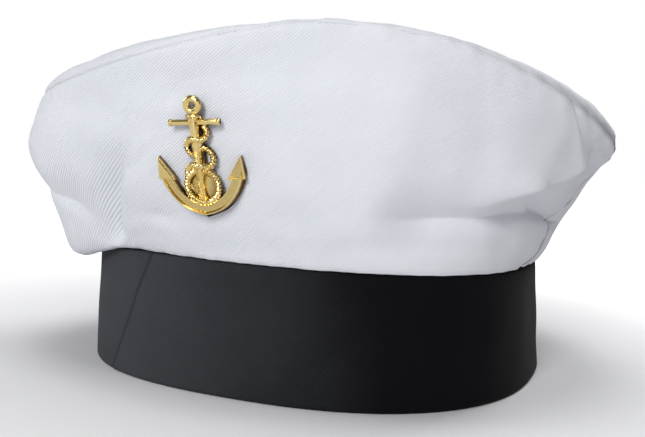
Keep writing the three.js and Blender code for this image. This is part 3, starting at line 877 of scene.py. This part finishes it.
def anchor_badge():
    """The whole badge, which also stores each point's height off the cloth as its relief."""
    shape = crescent()
    rope = laid_rope(smooth_through(ROPE_ROUTE, 190), ROPE_RADIUS)
    for extra in (fluke(1), fluke(-1), shank(), stock(), ring_and_neck(), coil(), knot(), rope):
        join_into(shape, extra)
    height = shape.verts.layers.float.new("relief")
    for vert in shape.verts:
        vert[height] = vert.co.z
        vert.co *= MM
    bmesh.ops.transform(shape, matrix=badge_frame(), verts=shape.verts)
    for face in shape.faces:
        face.smooth = True
    mesh = bpy.data.meshes.new("anchor")
    shape.to_mesh(mesh)
    shape.free()
    badge = finish_piece(mesh, "anchor", "gold_plate", "anchor_badge")
    sharp = badge.modifiers.new("edges", "EDGE_SPLIT")
    sharp.split_angle = math.radians(SHARP_EDGE)
    return badge


# ------------------------------------------------------------------ finishes

class Field:
    """A value that varies over a surface. Sums and products of fields add the nodes that work them out."""

    def __init__(self, finish, socket):
        self.finish = finish
        self.socket = socket

    def maths(self, operation, *values):
        return self.finish.node("ShaderNodeMath", {"operation": operation}, *values)

    def __add__(self, other):
        return self.maths("ADD", self, other)

    def __sub__(self, other):
        return self.maths("SUBTRACT", self, other)

    def __rsub__(self, other):
        return self.maths("SUBTRACT", other, self)

    def __mul__(self, other):
        return self.maths("MULTIPLY", self, other)

    def __truediv__(self, other):
        return self.maths("DIVIDE", self, other)

    def __pow__(self, other):
        return self.maths("POWER", self, other)

    __radd__ = __add__
    __rmul__ = __mul__

    def sine(self):
        return self.maths("SINE", self)

    def clamped(self):
        return self.finish.node("ShaderNodeClamp", {}, self)


class Finish:
    """A material and the nodes that make it. Spaces in a socket's name are written as underscores."""

    def __init__(self, name, **constants):
        self.material = bpy.data.materials.new(name)
        self.material.use_nodes = True
        self.tree = self.material.node_tree
        self.shader = self.tree.nodes["Principled BSDF"]
        for socket, value in constants.items():
            self.shader.inputs[socket.replace("_", " ")].default_value = value

    def node(self, kind, settings, *values, output=0, **named):
        """Adds a node, fed with values or fields by place or by name, and gives one of its outputs."""
        made = self.tree.nodes.new(kind)
        for setting, value in settings.items():
            setattr(made, setting, value)
        inputs = dict(enumerate(values))
        inputs.update((key.replace("_", " "), value) for key, value in named.items())
        for key, value in inputs.items():
            if isinstance(value, Field):
                self.tree.links.new(value.socket, made.inputs[key])
            elif value is not None:
                made.inputs[key].default_value = value
        return Field(self, made.outputs[output])

    def threads(self):
        """Distances across and up the cloth, along its own weave, and both as a vector."""
        uv = self.node("ShaderNodeUVMap", {"uv_map": "weave"})
        across = self.node("ShaderNodeSeparateXYZ", {}, uv)
        return across, Field(self, across.socket.node.outputs["Y"]), uv

    def place(self):
        """The place on the cap."""
        return self.node("ShaderNodeTexCoord", {}, output="Object")

    def stored(self, name):
        """A number that the mesh stores for each of its points."""
        return self.node("ShaderNodeAttribute", {"attribute_name": name}, output="Fac")

    def noise(self, vector, scale, detail=2.0, roughness=0.5):
        """Cloudy noise, about 0.5, at a scale in turns to the metre."""
        return self.node(
            "ShaderNodeTexNoise", {}, Vector=vector, Scale=scale, Detail=detail, Roughness=roughness,
        )

    def mix(self, share, first, second):
        """A colour that goes from the first to the second as share goes from 0 to 1."""
        other_kinds = [None] * 5  # the node's sockets for mixing numbers and vectors
        return self.node("ShaderNodeMix", {"data_type": "RGBA"}, share, *other_kinds, first, second, output=2)

    def feed(self, socket, field):
        self.tree.links.new(field.socket, self.shader.inputs[socket])

    def raise_by(self, height, distance):
        """Feeds the normal with a bump of a height field, at a distance in metres."""
        self.feed("Normal", self.node("ShaderNodeBump", {}, Height=height, Distance=distance, Strength=1.0))


CLOUD_SCALE, WANDER_SCALE, FIBRE_SCALE = 28.0, 160.0, 2600.0
WANDER = 1.6  # how far the wales wander, in radians
THREAD_PITCH, THREAD_LEAN = 0.55, 0.35  # of a wale's pitch, and how much a thread leans across the wale
PAINTED_LIGHT_STARTS = 0.15  # share of the way to that side at which the painted light starts
CRISP_LEAST = 0.35  # how crisp the weave is away from there
SEAM_DARK_SHARE = 0.12  # a seam's painted darkness, thread and shade, as a share of the shade colour
TWILL_RELIEF = 0.00016


def twill(name, light, shade, pitch, angle, painted_lit, **constants):
    """Twill: slanting wales a pitch apart, each broken into threads, with painted shade in the grooves. It is
    crispest, with the deepest groove shade, at the front left, where a painted lit colour shows; the last
    argument is the (light, shade) pair there."""
    finish = Finish(name, **constants)
    u, v, uv = finish.threads()
    place = finish.place()
    # painted light: a mask that grows towards the front left, with cloudy edges; it pales the colour as lit
    # there and deepens the grooves' painted shade
    toward = finish.node(
        "ShaderNodeVectorMath", {"operation": "DOT_PRODUCT"}, place, PAINTED_LIGHT_TOWARDS, output="Value",
    )
    cloud = finish.noise(place, CLOUD_SCALE, 3.0)
    near = (toward / PAINTED_LIGHT_REACH - PAINTED_LIGHT_STARTS) / (1 - PAINTED_LIGHT_STARTS)
    painted_light = (near + (cloud - 0.5) * 0.35).clamped() ** 1.5
    wander = finish.noise(uv, WANDER_SCALE, 2.0) * WANDER
    cosine, sine = math.cos(math.radians(angle)), math.sin(math.radians(angle))
    across = u * sine - v * cosine
    along = u * cosine + v * sine
    wale = (across * (math.tau / pitch) + wander).sine() * 0.5 + 0.5
    thread = ((along + across * THREAD_LEAN) * (math.tau / (pitch * THREAD_PITCH))).sine() * 0.5 + 0.5
    fibre = finish.noise(uv, FIBRE_SCALE, 3.0, 0.65)
    crisp = painted_light * (1 - CRISP_LEAST) + CRISP_LEAST
    height = (wale * 0.72 + wale * thread * 0.22) * crisp + fibre * 0.2
    # the grooves between the wales are painted darker: painted shade, deepest where the painted light mask is
    # high; the cloud and fibre noise is the cloth's own uneven tone
    groove = (1 - wale) ** 2.0
    tint = (groove * 0.75 * crisp + (cloud - 0.5) * 0.25 + (fibre - 0.5) * 0.25).clamped()
    # towards the front left the colours go over to the pair painted as lit
    off_seam = finish.mix(painted_light, finish.mix(tint, light, shade), finish.mix(tint, *painted_lit))
    # seams painted dark: their thread, and painted shade in their grooves, most at the rim's far right
    seam_dark = tuple(SEAM_DARK_SHARE * part for part in shade[:3]) + (1,)
    finish.feed("Base Color", finish.mix(finish.stored("thread_and_shade").clamped(), off_seam, seam_dark))
    finish.raise_by(height, TWILL_RELIEF)
    return finish.material


def white_twill():
    light, shade = (0.80, 0.815, 0.86, 1), (0.50, 0.525, 0.59, 1)
    return twill(
        "white_twill", light, shade, 0.00082, 41, (light, shade),
        Roughness=0.88, Sheen_Weight=0.08, Sheen_Roughness=0.5,
    )


def black_twill():
    light, shade = (0.0045, 0.0045, 0.006, 1), (0.0015, 0.0015, 0.002, 1)
    # paler colours painted at the front left: painted light falling on the black band from the left
    painted_lit = (0.078, 0.083, 0.094, 1), (0.026, 0.028, 0.033, 1)
    return twill(
        "black_twill", light, shade, 0.00105, 30, painted_lit,
        Roughness=0.75, Specular_IOR_Level=0.06, Sheen_Weight=0.02, Sheen_Roughness=0.4,
    )


PAINTED_SHADE_RELIEF = 2.15  # millimetres off the cloth, below which the plate is painted brown as shade


def gold_plate():
    """Bright plate over a casting, with painted shade: brown in the hollows, pale on the high edges, with a
    faint mottle.
    """
    finish = Finish("gold_plate", Metallic=1.0)
    place = finish.place()
    mottle = finish.noise(place, 900.0, 3.0, 0.6)
    # painted shade: the lower a point lies off the cloth, the browner it is painted
    low = (PAINTED_SHADE_RELIEF - finish.stored("relief") + (mottle - 0.5) * 0.3).clamped()
    finish.feed("Base Color", finish.mix(low, (0.94, 0.73, 0.30, 1), (0.10, 0.040, 0.006, 1)))
    finish.feed("Roughness", mottle * 0.14 + 0.16)
    finish.raise_by(finish.noise(place, 1800.0, 2.0), 0.000015)
    return finish.material


def pin_steel():
    """Drawn steel: grey, with the faint streaks and dull spots of handling."""
    finish = Finish("pin_steel", Metallic=1.0)
    place = finish.place()
    stretched = finish.node("ShaderNodeMapping", {}, place, Scale=(6.0, 6.0, 1.0))
    streaks = finish.noise(stretched, 500.0, 3.0, 0.6)
    dull = ((finish.noise(place, 260.0, 2.0) - 0.5) * 3.0 + 0.3).clamped()
    finish.feed("Base Color", finish.mix(dull, (0.62, 0.62, 0.63, 1), (0.34, 0.33, 0.32, 1)))
    finish.feed("Roughness", streaks * 0.3 + 0.25)
    finish.raise_by(streaks, 0.00004)
    return finish.material


# ------------------------------------------------------------------ the pieces

white, black = white_twill(), black_twill()
for panel in (front_panel(), back_panel(), top_panel()):
    thicken(panel)
    panel.data.materials.append(white)
band = band_cloth()
band.data.materials.append(black)
anchor_badge().data.materials.append(gold_plate())
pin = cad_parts["badge_pin"]
pin.data.materials.clear()
pin.data.materials.append(pin_steel())


# ------------------------------------------------------------------ studio

def studio_floor():
    """A pale floor that runs out into the white of the backdrop."""
    mesh = bpy.data.meshes.new("floor")
    shape = bmesh.new()
    bmesh.ops.create_circle(shape, cap_ends=True, segments=96, radius=FLOOR_RADIUS)
    shape.to_mesh(mesh)
    shape.free()
    floor = bpy.data.objects.new("floor", mesh)
    bpy.context.scene.collection.objects.link(floor)
    paper = Finish("floor_paper", Base_Color=(0.82, 0.82, 0.83, 1), Roughness=0.9, Emission_Strength=1.0)
    away = paper.node("ShaderNodeVectorMath", {"operation": "LENGTH"}, paper.place(), output="Value")
    seen = paper.node("ShaderNodeLightPath", {}, output="Is Camera Ray")
    glow = ((away - FLOOR_NEAR) / (FLOOR_FAR - FLOOR_NEAR)).clamped() * seen
    paper.feed("Emission Color", paper.mix(glow, (0, 0, 0, 1), (1, 1, 1, 1)))
    floor.data.materials.append(paper.material)


def soft_light(name, azimuth, elevation, distance, size, power):
    """A square soft box, placed round the cap by azimuth and elevation, that faces it."""
    light = bpy.data.lights.new(name, "AREA")
    light.size = size
    light.energy = power
    lamp = bpy.data.objects.new(name, light)
    level = distance * math.cos(math.radians(elevation))
    turn = math.radians(azimuth)
    height = distance * math.sin(math.radians(elevation))
    lamp.location = LIT_POINT + Vector((level * math.sin(turn), -level * math.cos(turn), height))
    lamp.rotation_euler = (LIT_POINT - lamp.location).to_track_quat("-Z", "Y").to_euler()
    bpy.context.scene.collection.objects.link(lamp)


def camera():
    """The camera, which looks from the cap's right and rolls a little."""
    turn = math.radians(CAMERA_AZIMUTH + CAMERA_YAW)
    pitch = math.radians(CAMERA_PITCH)
    place = math.radians(CAMERA_AZIMUTH)
    forward = Vector((-math.sin(turn) * math.cos(pitch), math.cos(turn) * math.cos(pitch), math.sin(pitch)))
    lens = bpy.data.cameras.new("camera")
    lens.lens = CAMERA_LENS
    lens.sensor_width = 36
    lens.clip_start = 0.01
    eye = bpy.data.objects.new("camera", lens)
    aim = forward.to_track_quat("-Z", "Y").to_matrix().to_4x4()
    roll = Matrix.Rotation(math.radians(CAMERA_ROLL), 4, "Z")
    stand = (math.sin(place) * CAMERA_DISTANCE, -math.cos(place) * CAMERA_DISTANCE, CAMERA_HEIGHT)
    eye.matrix_world = Matrix.Translation(stand) @ aim @ roll
    bpy.context.scene.collection.objects.link(eye)
    bpy.context.scene.camera = eye


def surroundings():
    """Faint light from all round, which the camera sees as plain white."""
    world = bpy.data.worlds.new("studio")
    world.use_nodes = True
    nodes, links = world.node_tree.nodes, world.node_tree.links
    faint = nodes["Background"]
    faint.inputs["Color"].default_value = (0.93, 0.95, 1.0, 1)
    faint.inputs["Strength"].default_value = WORLD_STRENGTH
    white = nodes.new("ShaderNodeBackground")
    white.inputs["Color"].default_value = (1, 1, 1, 1)
    ray = nodes.new("ShaderNodeLightPath")
    either = nodes.new("ShaderNodeMixShader")
    links.new(ray.outputs["Is Camera Ray"], either.inputs[0])
    links.new(faint.outputs[0], either.inputs[1])
    links.new(white.outputs[0], either.inputs[2])
    links.new(either.outputs[0], nodes["World Output"].inputs["Surface"])
    bpy.context.scene.world = world


camera()
studio_floor()
for name, placing in LIGHTS.items():
    soft_light(name, *placing)
surroundings()
bpy.context.scene.view_settings.view_transform = "Standard"
